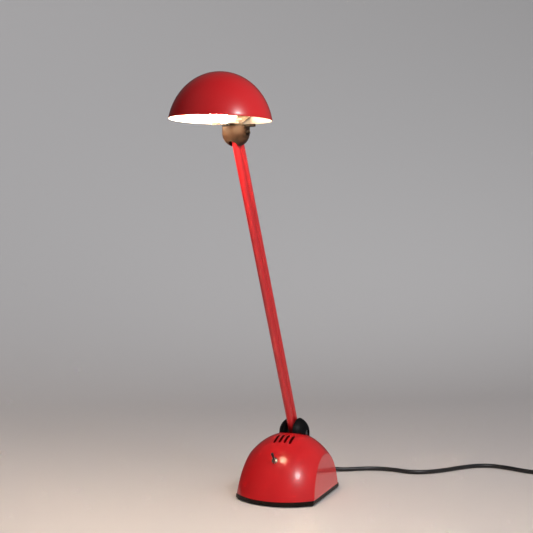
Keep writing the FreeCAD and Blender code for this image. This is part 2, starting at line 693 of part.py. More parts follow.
def joint_cup():
    """A half-ball with two flat cheeks, hollow, with a slot underneath for the arm to swing in."""
    bowl = ball("cup_bowl", HEAD, (0, 0, 0), "cup_radius", -90, 0)
    collar = rod("cup_collar", HEAD, (0, 0, 0), "Z", "cup_radius", "cup_top")
    cheeks = box("cup_cheeks", HEAD, ("-1 * cup_cheek", "cup_cheek"), ("-16", "16"), ("-16", "7"))
    whole = shared("cup_whole", fused("cup_ball", [bowl, collar]), cheeks)
    cavity = rod("cup_hollow", HEAD, ("-1 * cup_slot / 2", 0, 0), "X", "cup_cavity", "cup_slot")
    # the slot's mouth: a sector about the pivot, from in front of straight down to behind it
    sector = solid("Part::Cylinder", "cup_sector",
                   HEAD.multiply(moved("-1 * cup_slot / 2", 0, 0)).multiply(
                       turned(AXES["X"], "270 - cup_slot_front")).multiply(turned(V(1, 1, 1), 120)),
                   Radius="cup_radius + 2", Height="cup_slot", Angle="cup_slot_front + cup_slot_back")
    down = HEAD.multiply(turned(AXES["X"], "-1 * cup_slot_front"))
    rounded_end = rod("cup_slot_end", down, (0, 0, 0), "-Z", "cup_slot / 2", "cup_radius + 2")
    bolt_hole = rod("cup_bolt_hole", HEAD, (-16, 0, 0), "X", "head_bolt_radius", "32")
    screw_holes = [rod(f"cup_screw_hole_{i}", HEAD, (x, -8, "cup_top"), "-Z", "0.95", "5")
                   for i, x in enumerate((-6.2, 6.2))]
    keep(cut("joint_cup", whole, [cavity, sector, rounded_end, bolt_hole] + screw_holes), "joint_cup")

    shank = pivot_hardware(HEAD, "head", "head_bolt_radius", "-1 * cup_cheek", "cup_cheek",
                           ("cup_slot / 2 - tube_radius - pivot_clearance", "5.7"))
    cap = rod("head_bolt_cap", HEAD, ("-1 * cup_cheek", 0, 0), "-X", "3.4", "2.4")
    keep(fused("head_bolt", [shank, cap]), "head_bolt")
    knob = rod("head_knob", HEAD, ("cup_cheek", 0, 0), "X", "2.35", "3.8")
    keep(knob, "head_knob")


def finger_tab():
    disc = shared("tab_cap", rod("tab_disc", HEAD, (0, 0, "cup_top"), "Z", "cup_radius", "tab_thick"),
                  box("tab_cheeks", HEAD, ("-1 * cup_cheek", "cup_cheek"), ("-16", "16"),
                      ("cup_top", "cup_top + tab_thick")))
    wing = box("tab_wing", HEAD, ("0", "tab_reach - tab_half_width"),
               ("-1 * tab_half_width", "tab_half_width"), ("cup_top", "cup_top + tab_thick"))
    end = rod("tab_end", HEAD, ("tab_reach - tab_half_width", 0, "cup_top"), "Z", "tab_half_width",
              "tab_thick")
    holes = [rod(f"tab_hole_{i}", HEAD, (x, -8, "cup_top"), "Z", "0.95", "5")
             for i, x in enumerate((-6.2, 6.2))]
    keep(cut("finger_tab", fused("tab_whole", [disc, wing, end]), holes), "finger_tab")


def lamp_bracket():
    """A bent strip: a front lip, a floor over the cup, a ramp up to the shade and a flange on it."""
    strip = doc.addObject("PartDesign::Body", "bracket_strip")
    strip.Placement = HEAD
    floor = "cup_top + tab_thick"
    nose = f"{floor} - (38 - bracket_bend) * tan(bracket_droop)"
    outline = [("-40.3", f"{nose} + 2.5"), ("-38", nose), ("-1 * bracket_bend", floor), ("-4", floor),
               ("18", "18.1"), ("14.3", "28"), ("13.3", "27.6"), ("16.6", "18.6"),
               ("-4.3", f"{floor} + bracket_thick"), ("-1 * bracket_bend", f"{floor} + bracket_thick"),
               ("-37.5", f"{nose} + bracket_thick"), ("-39.4", f"{nose} + 3")]
    side = sketch(strip, "YZ_Plane")
    polygon(side, outline)
    pad(strip, side, "2 * bracket_half_width", True)
    holes = sketch(strip, "XY_Plane")
    circles(holes, [(x, "-8", "0.95") for x in ("-6.2", "6.2")])
    pocket(strip, holes)
    corners = sketch(strip, "XY_Plane")
    for side_sign in ("-1", "1"):
        polygon(corners, [(f"{side_sign} * bracket_nose", "-20"), (f"{side_sign} * 9", "-8"),
                          (f"{side_sign} * 9", "-45"), (f"{side_sign} * bracket_nose", "-45")])
    pocket(strip, corners)
    bores = [rod(f"bracket_screw_hole_{i}", BULB, (0, y, -2), "Z", "1.2", "4")
             for i, y in enumerate(HOLDER_SCREWS)]
    bores += [rod(f"bracket_rivet_hole_{i}", HEAD, spot, RIVET_AXIS, "1.5", "3.4")
             for i, spot in enumerate(RIVETS)]
    keep(cut("lamp_bracket", strip, bores), "lamp_bracket")

    screws = []
    for i, x in enumerate((-6.2, 6.2)):
        stem = rod(f"bracket_screw_stem_{i}", HEAD, (x, -8, "cup_top - 5"), "Z", "0.95", "8.2")
        head = rod(f"bracket_screw_head_{i}", HEAD, (x, -8, "cup_top + tab_thick + bracket_thick"), "Z",
                   "1.8", "1.3")
        screws.append(fused(f"bracket_screw_{i}", [stem, head]))
    keep(group("bracket_screws", screws), "bracket_screws")


def lamp_holder():
    block = box("holder_block", BULB, ("-8", "8"), ("-13.5", "1.5"), ("0", "10.5"))
    pin_holes = [rod(f"holder_pin_hole_{i}", BULB, (x, -14.5, "bulb_height"), "Y", "0.5", "6.5")
                 for i, x in enumerate((-2, 2))]
    screw_holes = [rod(f"holder_screw_hole_{i}", BULB, (0, y, -1), "Z", "1.2", "4.6")
                   for i, y in enumerate(HOLDER_SCREWS)]
    keep(cut("lamp_holder", block, pin_holes + screw_holes), "lamp_holder")
    screws = []
    for i, y in enumerate(HOLDER_SCREWS):
        head = rod(f"holder_screw_head_{i}", BULB, (0, y, "-1 * bracket_thick - 1.2"), "Z", "2", "1.2")
        stem = rod(f"holder_screw_stem_{i}", BULB, (0, y, "-1 * bracket_thick - 1.2"), "Z", "1.2", "5.8")
        screws.append(fused(f"holder_screw_{i}", [head, stem]))
    keep(group("holder_screws", screws), "holder_screws")
    leads = [rod(f"head_lead_{i}", BULB, (x, 1.5, 3), "Y", "0.8", "14") for i, x in enumerate((-6, 6))]
    keep(group("head_leads", leads), "head_leads")


def bulb():
    """A capsule lamp lying along the bracket, its pins in the holder."""
    def capsule(name, radius, start, end):
        tube = rod(name + "_tube", BULB, (0, start, "bulb_height"), "-Y", radius, f"({start}) - ({end})")
        nose = ball(name + "_nose", BULB, (0, end, "bulb_height"), radius)
        return fused(name, [tube, nose])

    pinch = box("bulb_pinch", BULB, ("-3.6", "3.6"), ("-19", "-14.5"),
                ("bulb_height - 1.6", "bulb_height + 1.6"))
    glass = fused("bulb_outer", [capsule("bulb_skin", "bulb_radius", "-18", "-30.6"), pinch])
    inner = capsule("bulb_inside", "bulb_radius - bulb_wall", "-20", "-30.6")
    pin_bores = [rod(f"bulb_pin_bore_{i}", BULB, (x, -14.5, "bulb_height"), "-Y", "0.5", "6")
                 for i, x in enumerate((-2, 2))]
    keep(cut("bulb_capsule", glass, [inner] + pin_bores), "bulb_capsule")
    keep(rod("bulb_filament", BULB, (-2.5, -26.7, "bulb_height"), "X", "0.8", "5"), "bulb_filament")
    pins = [rod(f"bulb_pin_{i}", BULB, (x, -8, "bulb_height"), "-Y", "0.5", "17.9")
            for i, x in enumerate((-2, 2))]
    keep(group("bulb_pins", pins), "bulb_pins")


def shade():
    def bowl(name, inset):
        return solid("Part::Ellipsoid", name,
                     LAMP.multiply(moved(0, "-1 * shade_ahead", "shade_rim_up - shade_cut")),
                     Radius1=f"shade_half_height - {inset}", Radius2=f"shade_half_width - {inset}",
                     Radius3=f"shade_half_width - {inset}")

    above = box("shade_above", LAMP, ("-60", "60"), ("-1 * shade_ahead - 60", "60 - shade_ahead"),
                ("shade_rim_up", "80"))
    shell = cut("shade_shell", bowl("shade_outside", "0"), [bowl("shade_inside", "shade_wall")])
    holes = [rod(f"rivet_hole_{i}", HEAD, spot, RIVET_AXIS, "1.5", "9") for i, spot in enumerate(RIVETS)]
    keep(cut("shade", shared("shade_cap", shell, above), holes), "shade")

    def on_axis(spot, distance):
        return tuple(a + b * distance for a, b in zip(spot, RIVET_AXIS))

    rivets = []
    for i, spot in enumerate(RIVETS):
        stem = rod(f"rivet_stem_{i}", HEAD, on_axis(spot, -0.3), RIVET_AXIS, "1.5", "5")
        tail = rod(f"rivet_tail_{i}", HEAD, on_axis(spot, -0.4), RIVET_AXIS, "2.3", "1.1")
        collar = rod(f"rivet_collar_{i}", HEAD, on_axis(spot, 1.92), RIVET_AXIS, "2.3", "0.36")
        head = cone(f"rivet_head_{i}", HEAD, on_axis(spot, 3.78), RIVET_AXIS, "2.3", "1.2", "1.1")
        rivets.append(fused(f"rivet_{i}", [stem, tail, collar, head]))
    keep(group("shade_rivets", rivets), "shade_rivets")


# ---------------------------------------------------------------- mains cord

CORD_ROUTE = [(0, 88, 12), (1, 100, 10.9), (6, 110.8, 7.6), (15, 118.2, 4.2), (26.3, 124.3, 2.5),
              (38.5, 132, 2.5), (53, 141.5, 2.5), (71, 147.5, 2.5), (90, 147, 2.5), (107, 142.5, 2.5),
              (122, 146, 2.5), (137, 157.5, 2.5), (151, 173, 2.5), (164, 191, 2.5), (179, 207, 2.5),
              (198, 215, 2.5), (218, 211, 2.5), (238, 201.5, 2.5), (258, 197, 2.5), (281, 195.2, 2.5),
              (304, 195.6, 2.5), (326, 195.5, 2.5)]
TAIL_ROUTE = [(326, 195.5, 7.5), (340, 195.4, 7), (355.5, 191.3, 5.3), (366.8, 180, 3.6),
              (370.9, 164.5, 2.7), (366.8, 149, 2.6), (355.5, 137.7, 3.4), (340, 133.6, 5.4),
              (325, 133.6, 6.9)]


def mains_cord():
    keep(cord("mains_cord", CORD_ROUTE, SIZES["cord_radius"]), "mains_cord")
    keep(cord("plug_cord", TAIL_ROUTE, SIZES["cord_radius"]), "plug_cord")
    keep(ring("cord_coil", BASE, ("coil_x", "coil_y", 0), "Z", "coil_outer", "coil_inner", "coil_height"),
         "cord_coil")
    across = ("coil_x + coil_inner - 1.5", "coil_x + coil_outer + 1.5")
    strap = box("tie_outer", BASE, across, ("coil_y - 4", "coil_y + 4"), ("0", "coil_height + 1.2"))
    inside = box("tie_inner", BASE, ("coil_x + coil_inner - 0.5", "coil_x + coil_outer + 0.5"),
                 ("coil_y - 4", "coil_y + 4"), ("0.4", "coil_height + 0.4"))
    keep(cut("cord_tie", strap, [inside]), "cord_tie")


def plug():
    """A flat two-pin plug, lying on its broad side with its pins towards -X."""
    place = moved(325, 133.6, 6.9)
    sleeve = cone("plug_sleeve", place, (0, 0, 0), "-X", "3.4", "5.4", "16")
    block = box("plug_block", place, ("-38", "-14"), ("-17.5", "17.5"), ("-6.9", "6.9"))
    waist = [box(f"plug_waist_{i}", place, ("-30", "-13"), (f"{lo}", f"{hi}"), ("-8", "8"))
             for i, (lo, hi) in enumerate(((-19, -13), (13, 19)))]
    shaped = cut("plug_shaped", block, waist)
    whole = fused("plug_whole", [sleeve, shaped])
    holes = [rod(f"plug_hole_{i}", place, (-44, y, 0), "X", "2", "13") for i, y in enumerate((-9.25, 9.25))]
    keep(cut("plug_body", whole, holes), "plug_body")
    pins = []
    for i, y in enumerate((-9.25, 9.25)):
        stem = rod(f"pin_stem_{i}", place, (-31, y, 0), "-X", "2", "24.5")
        pins.append(fused(f"pin_{i}", [stem, ball(f"pin_tip_{i}", place, (-55.5, y, 0), "2")]))
    keep(group("plug_pins", pins), "plug_pins")


# ---------------------------------------------------------------- build, check and write

def main():
    base_shell()
    base_plate()
    rubber_feet()
    base_plate_screws()
    transformer()
    wiring()
    toggle_switch()
    swivel_washer()
    turret()
    arm()
    joint_cup()
    finger_tab()
    lamp_bracket()
    lamp_holder()
    bulb()
    shade()
    mains_cord()
    plug()
    doc.recompute()
    for obj in doc.Objects:
        if "Invalid" in obj.State or "Error" in obj.State:
            raise RuntimeError(f"{obj.Name} failed: {obj.State}")
    for node in nodes:
        if node.Shape.isNull() or not node.Shape.isValid():
            raise RuntimeError(f"{node.Label} has no valid shape")
    os.makedirs("parts", exist_ok=True)
    for node in nodes:
        node.Shape.exportStep(f"parts/{node.Label}.step")
    print(len(nodes), "nodes")


main()
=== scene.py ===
import json
import math

import bpy
from mathutils import Matrix, Vector

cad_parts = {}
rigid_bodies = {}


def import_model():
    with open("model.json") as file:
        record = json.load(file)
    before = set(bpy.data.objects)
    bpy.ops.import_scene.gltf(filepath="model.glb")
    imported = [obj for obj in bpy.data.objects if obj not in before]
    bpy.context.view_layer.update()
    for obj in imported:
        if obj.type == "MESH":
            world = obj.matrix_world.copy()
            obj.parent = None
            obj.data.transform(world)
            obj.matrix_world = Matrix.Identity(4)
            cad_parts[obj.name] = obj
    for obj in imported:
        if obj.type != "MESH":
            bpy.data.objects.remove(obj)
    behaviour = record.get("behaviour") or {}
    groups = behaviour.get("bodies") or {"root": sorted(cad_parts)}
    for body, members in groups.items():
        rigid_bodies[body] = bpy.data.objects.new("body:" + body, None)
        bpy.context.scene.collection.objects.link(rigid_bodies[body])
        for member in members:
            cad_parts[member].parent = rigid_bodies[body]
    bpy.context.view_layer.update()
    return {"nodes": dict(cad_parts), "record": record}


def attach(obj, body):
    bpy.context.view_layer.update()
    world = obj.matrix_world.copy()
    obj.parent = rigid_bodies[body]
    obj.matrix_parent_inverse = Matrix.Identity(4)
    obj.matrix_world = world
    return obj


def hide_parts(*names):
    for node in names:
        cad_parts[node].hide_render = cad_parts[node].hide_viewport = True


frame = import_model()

NODES = frame["nodes"]
# the cord and the turned and moulded pieces are laid out in millimetres, everything else in metres
MM = 0.001
scene = bpy.context.scene
scene.view_settings.view_transform = "Standard"
scene.view_settings.look = "None"


# ---------------------------------------------------------------- camera

CAMERA_LENS = 68.89
CAMERA_PLACE = (0.4056, -1.09913, 0.30181)
CAMERA_LOOK = (-0.36627, 0.92989, -0.03380)


def link(obj):
    scene.collection.objects.link(obj)
    return obj


camera_data = bpy.data.cameras.new("camera")
camera_data.sensor_width = 36.0
camera_data.lens = CAMERA_LENS
camera_data.clip_start = 0.01
camera_data.clip_end = 50.0
camera = link(bpy.data.objects.new("camera", camera_data))
camera.location = CAMERA_PLACE
camera.rotation_euler = Vector(CAMERA_LOOK).to_track_quat("-Z", "Y").to_euler()
scene.camera = camera


# ---------------------------------------------------------------- mains cord

CORD_RADIUS = 2.5
ROUTE = [(0, 88, 12), (1, 100, 10.9), (6, 110.8, 7.6), (15, 118.2, 4.2), (26.3, 124.3, 2.5),
         (38.5, 132, 2.5), (53, 141.5, 2.5), (71, 147.5, 2.5), (90, 147, 2.5), (107, 142.5, 2.5),
         (122, 146, 2.5), (137, 157.5, 2.5), (151, 173, 2.5), (164, 191, 2.5), (179, 207, 2.5),
         (198, 215, 2.5), (218, 211, 2.5), (238, 201.5, 2.5), (258, 197, 2.5), (281, 195.2, 2.5),
         (304, 195.6, 2.5)]
TAIL = [(340, 195.4, 7), (355.5, 191.3, 5.3), (366.8, 180, 3.6), (370.9, 164.5, 2.7), (366.8, 149, 2.6),
        (355.5, 137.7, 3.4), (340, 133.6, 5.4), (325, 133.6, 6.9)]
COIL_CENTRE = (326, 233)
COIL_WIDE = 37.5
COIL_PITCH = 2 * CORD_RADIUS
LAYER_TURNS = 3
COIL_TIGHT = COIL_WIDE - COIL_PITCH * LAYER_TURNS
COIL_DIP = 3
COIL_TURNS = 2 * LAYER_TURNS + 1
TURN_POINTS = 16
LAYER_LOW = CORD_RADIUS
LAYER_HIGH = LAYER_LOW + COIL_PITCH


def coil_point(turn):
    """A place on the coil: three turns in on the floor, one turn climbing, three turns out on top."""
    climb = turn - LAYER_TURNS
    if climb <= 0:
        radius = COIL_WIDE - COIL_PITCH * turn
        height = LAYER_LOW
    elif climb <= 1:
        radius = COIL_TIGHT - COIL_DIP * math.sin(math.pi * climb)
        height = LAYER_LOW + (LAYER_HIGH - LAYER_LOW) * climb
    else:
        radius = COIL_TIGHT + COIL_PITCH * (climb - 1)
        height = LAYER_HIGH
    angle = 2 * math.pi * turn - math.pi / 2
    return (COIL_CENTRE[0] + radius * math.cos(angle), COIL_CENTRE[1] + radius * math.sin(angle), height)


def nurbs_tube(name, points, radius):
    """A round tube along a smooth line that starts and ends at the end points."""
    data = bpy.data.curves.new(name, "CURVE")
    data.dimensions = "3D"
    spline = data.splines.new("NURBS")
    spline.points.add(len(points) - 1)
    for knot, place in zip(spline.points, points):
        knot.co = (place[0] * MM, place[1] * MM, place[2] * MM, 1)
    spline.order_u = 3
    spline.use_endpoint_u = True
    spline.resolution_u = 6
    data.bevel_depth = radius * MM
    data.bevel_resolution = 5
    data.use_fill_caps = True
    return link(bpy.data.objects.new(name, data))


coil = [coil_point(step / TURN_POINTS) for step in range(COIL_TURNS * TURN_POINTS + 1)]
cord = nurbs_tube("cord", ROUTE + coil + TAIL, CORD_RADIUS)


# ---------------------------------------------------------------- materials

BUMP_DEPTH = 0.0002
RIDGE_DEPTH = 0.0003
# mm, for the core's laminations and the windings' wire
LAMINATION = 0.5
WIRE_THICK = 0.7
BANDS_AT_SCALE_ONE = 3.14
MIX_FACTOR = 0
MIX_FIRST = 6
MIX_SECOND = 7
MIX_RESULT = 2


def material(name, color, rough=0.5, metal=0.0, spec=0.5, coat=0.0, coat_rough=0.05):
    mat = bpy.data.materials.new(name)
    mat.use_nodes = True
    shader = mat.node_tree.nodes["Principled BSDF"]
    shader.inputs["Base Color"].default_value = (*color, 1)
    shader.inputs["Roughness"].default_value = rough
    shader.inputs["Metallic"].default_value = metal
    shader.inputs["Specular IOR Level"].default_value = spec
    shader.inputs["Coat Weight"].default_value = coat
    shader.inputs["Coat Roughness"].default_value = coat_rough
    return mat


def node(mat, kind, **settings):
    """A new node in a material or a world."""
    made = mat.node_tree.nodes.new(kind)
    for key, setting in settings.items():
        setattr(made, key, setting)
    return made


def wire(mat, source, target):
    mat.node_tree.links.new(source, target)


def shader_of(mat):
    return mat.node_tree.nodes["Principled BSDF"]


def noise(mat, scale, detail=3.0):
    """A cloudy pattern fixed to the piece."""
    coords = node(mat, "ShaderNodeTexCoord")
    tex = node(mat, "ShaderNodeTexNoise")
    tex.inputs["Scale"].default_value = scale
    tex.inputs["Detail"].default_value = detail
    wire(mat, coords.outputs["Object"], tex.inputs["Vector"])
    return tex.outputs["Fac"]


def add_bump(mat, scale, strength):
    """A fine grain on the surface."""
    bump = node(mat, "ShaderNodeBump")
    bump.inputs["Strength"].default_value = strength
    bump.inputs["Distance"].default_value = BUMP_DEPTH
    wire(mat, noise(mat, scale), bump.inputs["Height"])
    wire(mat, bump.outputs["Normal"], shader_of(mat).inputs["Normal"])


def vary_rough(mat, scale, low, high):
    spread = node(mat, "ShaderNodeMapRange")
    spread.inputs["From Min"].default_value = 0.3
    spread.inputs["From Max"].default_value = 0.7
    spread.inputs["To Min"].default_value = low
    spread.inputs["To Max"].default_value = high
    wire(mat, noise(mat, scale, 5.0), spread.inputs["Value"])
    wire(mat, spread.outputs["Result"], shader_of(mat).inputs["Roughness"])


def add_layers(mat, thickness, strength):
    """Fine ridges across Y: stacked laminations or wound wire."""
    coords = node(mat, "ShaderNodeTexCoord")
    bands = node(mat, "ShaderNodeTexWave", bands_direction="Y")
    bands.inputs["Scale"].default_value = 1 / (thickness * MM * BANDS_AT_SCALE_ONE)
    wire(mat, coords.outputs["Object"], bands.inputs["Vector"])
    bump = node(mat, "ShaderNodeBump")
    bump.inputs["Strength"].default_value = strength
    bump.inputs["Distance"].default_value = RIDGE_DEPTH
    wire(mat, bands.outputs["Fac"], bump.inputs["Height"])
    wire(mat, bump.outputs["Normal"], shader_of(mat).inputs["Normal"])


def vary_color(mat, scale, first, second):
    blend = node(mat, "ShaderNodeMix", data_type="RGBA")
    blend.inputs[MIX_FIRST].default_value = (*first, 1)
    blend.inputs[MIX_SECOND].default_value = (*second, 1)
    wire(mat, noise(mat, scale, 4.0), blend.inputs[MIX_FACTOR])
    wire(mat, blend.outputs[MIX_RESULT], shader_of(mat).inputs["Base Color"])


red_enamel = material("red_enamel", (0.66, 0.011, 0.014), rough=0.3, spec=0.2, coat=0.9, coat_rough=0.04)
vary_color(red_enamel, 9, (0.65, 0.010, 0.013), (0.68, 0.012, 0.016))
add_bump(red_enamel, 900, 0.02)

# the dome is part of an ellipsoid that leans back; the vents lie in a box about VENT_MIDDLE, and their
# walls there get a near-black painted shade
DOME_HALVES = (0.0631, 0.0656, 0.0800)
DOME_CENTRE = (0, -0.0019, -0.0093)
DOME_LEAN = math.radians(-16.5)
VENT_MIDDLE = (0, -0.014)
VENT_REACH = (0.016, 0.010)
# the share of the dome's size below which the vents' walls get the painted shade
VENT_SHADE_SHARE = 0.994


def paint_vent_shade(mat, share, color):
    """Paint shade on the walls of the vents: below the outermost share of the dome there, the red gives way
    to a near-black painted shade.
    """
    shader = shader_of(mat)
    paint = shader.inputs["Base Color"].links[0].from_socket
    coords = node(mat, "ShaderNodeTexCoord")
    dome = node(mat, "ShaderNodeMapping", vector_type="TEXTURE")
    dome.inputs["Location"].default_value = DOME_CENTRE
    dome.inputs["Rotation"].default_value = (DOME_LEAN, 0, 0)
    dome.inputs["Scale"].default_value = DOME_HALVES
    depth = node(mat, "ShaderNodeVectorMath", operation="LENGTH")
    inside = node(mat, "ShaderNodeMath", operation="LESS_THAN")
    inside.inputs[1].default_value = share
    parts = node(mat, "ShaderNodeSeparateXYZ")
    wire(mat, coords.outputs["Object"], dome.inputs["Vector"])
    wire(mat, dome.outputs["Vector"], depth.inputs[0])
    wire(mat, depth.outputs["Value"], inside.inputs[0])
    wire(mat, coords.outputs["Object"], parts.inputs["Vector"])
    vent_shade_mask = inside.outputs["Value"]
    for axis, middle, reach in zip("XY", VENT_MIDDLE, VENT_REACH):
        near = node(mat, "ShaderNodeMath", operation="COMPARE")
        near.inputs[1].default_value = middle
        near.inputs[2].default_value = reach
        both = node(mat, "ShaderNodeMath", operation="MULTIPLY")
        wire(mat, parts.outputs[axis], near.inputs[0])
        wire(mat, near.outputs["Value"], both.inputs[0])
        wire(mat, vent_shade_mask, both.inputs[1])
        vent_shade_mask = both.outputs["Value"]
    blend = node(mat, "ShaderNodeMix", data_type="RGBA")
    blend.inputs[MIX_SECOND].default_value = (*color, 1)
    wire(mat, vent_shade_mask, blend.inputs[MIX_FACTOR])
    wire(mat, paint, blend.inputs[MIX_FIRST])
    wire(mat, blend.outputs[MIX_RESULT], shader.inputs["Base Color"])


base_enamel_and_vent_shade = red_enamel.copy()
base_enamel_and_vent_shade.name = "base_enamel_and_vent_shade"
# the vents' walls get a near-black painted shade in place of their red
paint_vent_shade(base_enamel_and_vent_shade, VENT_SHADE_SHARE, (0.006, 0.003, 0.003))
red_arm = material("red_arm", (0.60, 0.012, 0.016), rough=0.38, spec=0.4, coat=0.6, coat_rough=0.3)
vary_color(red_arm, 20, (0.58, 0.011, 0.015), (0.63, 0.014, 0.018))
add_bump(red_arm, 1400, 0.05)
shade_white = material("shade_white", (0.86, 0.81, 0.74), rough=0.45)
add_bump(shade_white, 1100, 0.06)
black_shell = material("black_shell", (0.005, 0.0055, 0.0065), rough=0.46, spec=0.06)
add_bump(black_shell, 1500, 0.25)
vary_rough(black_shell, 60, 0.4, 0.52)
cup_black = material("cup_black", (0.026, 0.013, 0.008), rough=0.42, spec=0.2)
vary_color(cup_black, 1300, (0.015, 0.008, 0.005), (0.044, 0.023, 0.013))
add_bump(cup_black, 1800, 0.3)
tab_black = material("tab_black", (0.010, 0.006, 0.004), rough=0.5, spec=0.12)
add_bump(tab_black, 1800, 0.3)
vary_rough(tab_black, 90, 0.45, 0.6)
black_plate = material("black_plate", (0.010, 0.005, 0.003), rough=0.42, spec=0.15)
add_bump(black_plate, 1200, 0.2)
vary_rough(black_plate, 90, 0.36, 0.5)
black_plastic = material("black_plastic", (0.014, 0.014, 0.014), rough=0.33)
add_bump(black_plastic, 1600, 0.12)
rubber = material("rubber", (0.018, 0.018, 0.018), rough=0.75)
add_bump(rubber, 2500, 0.2)
sheath = material("sheath", (0.012, 0.012, 0.013), rough=0.36)
add_bump(sheath, 700, 0.12)
zinc = material("zinc", (0.55, 0.55, 0.56), rough=0.3, metal=1.0)
vary_rough(zinc, 400, 0.22, 0.38)
nickel = material("nickel", (0.62, 0.58, 0.50), rough=0.22, metal=1.0)
vary_rough(nickel, 600, 0.16, 0.3)
brass = material("brass", (0.72, 0.56, 0.28), rough=0.25, metal=1.0)
vary_rough(brass, 500, 0.18, 0.32)
core_steel = material("core_steel", (0.20, 0.19, 0.18), rough=0.45, metal=0.8)
add_layers(core_steel, LAMINATION, 0.35)
copper = material("copper", (0.50, 0.16, 0.06), rough=0.3, metal=0.7)
add_layers(copper, WIRE_THICK, 0.6)
white_plastic = material("white_plastic", (0.74, 0.73, 0.68), rough=0.4)
vary_rough(white_plastic, 200, 0.35, 0.5)
lead_cover = material("lead_cover", (0.65, 0.62, 0.52), rough=0.5)
vary_rough(lead_cover, 300, 0.4, 0.6)
nylon = material("nylon", (0.03, 0.03, 0.03), rough=0.4)
vary_rough(nylon, 300, 0.35, 0.5)
sheet_metal = material("sheet_metal", (0.13, 0.095, 0.07), rough=0.5, metal=0.3)
vary_rough(sheet_metal, 120, 0.28, 0.45)
ceramic = material("ceramic", (0.78, 0.73, 0.64), rough=0.6)
add_bump(ceramic, 900, 0.2)


def glowing(name, color, strength):
    """A pale metal that gives off light."""
    mat = material(name, (0.8, 0.8, 0.8))
    shader_of(mat).inputs["Emission Color"].default_value = (*color, 1)
    shader_of(mat).inputs["Emission Strength"].default_value = strength
    return mat


filament_glow = glowing("filament_glow", (1.0, 0.82, 0.55), 400.0)


def lit_glass():
    """Thin clear glass, filled with the filament's glare."""
    mat = bpy.data.materials.new("lit_glass")
    mat.use_nodes = True
    tree = mat.node_tree
    tree.nodes.remove(tree.nodes["Principled BSDF"])
    clear = node(mat, "ShaderNodeBsdfTransparent")
    gloss = node(mat, "ShaderNodeBsdfGlossy")
    gloss.inputs["Roughness"].default_value = 0.02
    glare = node(mat, "ShaderNodeEmission")
    glare.inputs["Color"].default_value = (1.0, 0.86, 0.66, 1)
    glare.inputs["Strength"].default_value = 20.0
    edge = node(mat, "ShaderNodeFresnel")
    edge.inputs["IOR"].default_value = 1.45
    blend = node(mat, "ShaderNodeMixShader")
    both = node(mat, "ShaderNodeAddShader")
    wire(mat, edge.outputs["Fac"], blend.inputs["Fac"])
    wire(mat, clear.outputs["BSDF"], blend.inputs[1])
    wire(mat, gloss.outputs["BSDF"], blend.inputs[2])
    wire(mat, blend.outputs["Shader"], both.inputs[0])
    wire(mat, glare.outputs["Emission"], both.inputs[1])
    wire(mat, both.outputs["Shader"], tree.nodes["Material Output"].inputs["Surface"])
    return mat


bulb_glass = lit_glass()

FINISH = {
    "base_shell": base_enamel_and_vent_shade, "base_plate": black_plate, "rubber_feet": rubber, "base_plate_screws": zinc,
    "transformer_core": core_steel, "transformer_bobbin": white_plastic, "primary_winding": copper,
    "secondary_winding": copper, "transformer_spacers": zinc, "transformer_screws": zinc,
    "transformer_nuts": zinc, "terminal_block": white_plastic, "terminal_screws": zinc,
    "cord_clamp": black_plastic, "inner_cord": sheath, "strain_relief": sheath, "primary_leads": lead_cover,
    "switch_leads": lead_cover, "switch_body": black_plastic, "switch_terminals": brass,
    "switch_bushing": nickel, "switch_washer": nickel, "switch_nut": nickel, "swivel_washer": nylon,
    "turret_housing": black_shell, "swivel_stud": nickel,
    "swivel_spring_washer": zinc, "swivel_nut": zinc, "swivel_leads": lead_cover, "pivot_bolt": zinc,
    "pivot_nut": zinc, "pivot_washers": nylon, "arm_profile": red_arm, "lower_tongue": red_arm,
    "upper_tongue": red_arm, "arm_wires": lead_cover, "joint_cup": cup_black, "head_bolt": tab_black,
    "head_washers": nylon, "finger_tab": tab_black, "lamp_bracket": sheet_metal, "bracket_screws": zinc,
    "lamp_holder": ceramic, "holder_screws": zinc, "head_leads": lead_cover, "bulb_capsule": bulb_glass,
    "bulb_pins": zinc, "plug_pins": nickel,
}


def dress(obj, mat):
    """Give every material slot of a CAD node the same material."""
    if not obj.material_slots:
        obj.data.materials.append(mat)
    for place in obj.material_slots:
        place.link = "OBJECT"
        place.material = mat


for name, mat in FINISH.items():
    dress(NODES[name], mat)

cord.data.materials.append(sheath)
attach(cord, "base")
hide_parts("mains_cord", "cord_coil", "plug_cord")


# ---------------------------------------------------------------- shade

def joint(name):
    return next(item for item in frame["record"]["behaviour"]["joints"] if item["name"] == name)


HEAD_YAW = math.radians(-7.5)
LAMP_ROLL = math.radians(1.5)
HEAD = Matrix.Translation(Vector(joint("head_tilt")["pos_m"])) @ Matrix.Rotation(HEAD_YAW, 4, "Z")
LAMP = HEAD @ Matrix.Rotation(LAMP_ROLL, 4, "Y")
POLE_RADIUS = 1e-6


def mesh_piece(name, verts, faces, mats, picks=None):
    """A smooth mesh; picks gives the place in mats of each face's material."""
    data = bpy.data.meshes.new(name)
    data.from_pydata([tuple(v) for v in verts], [], faces)
    for mat in mats:
        data.materials.append(mat)
    for i, face in enumerate(data.polygons):
        face.use_smooth = True
        if picks:
            face.material_index = picks[i]
    data.update()
    return link(bpy.data.objects.new(name, data))


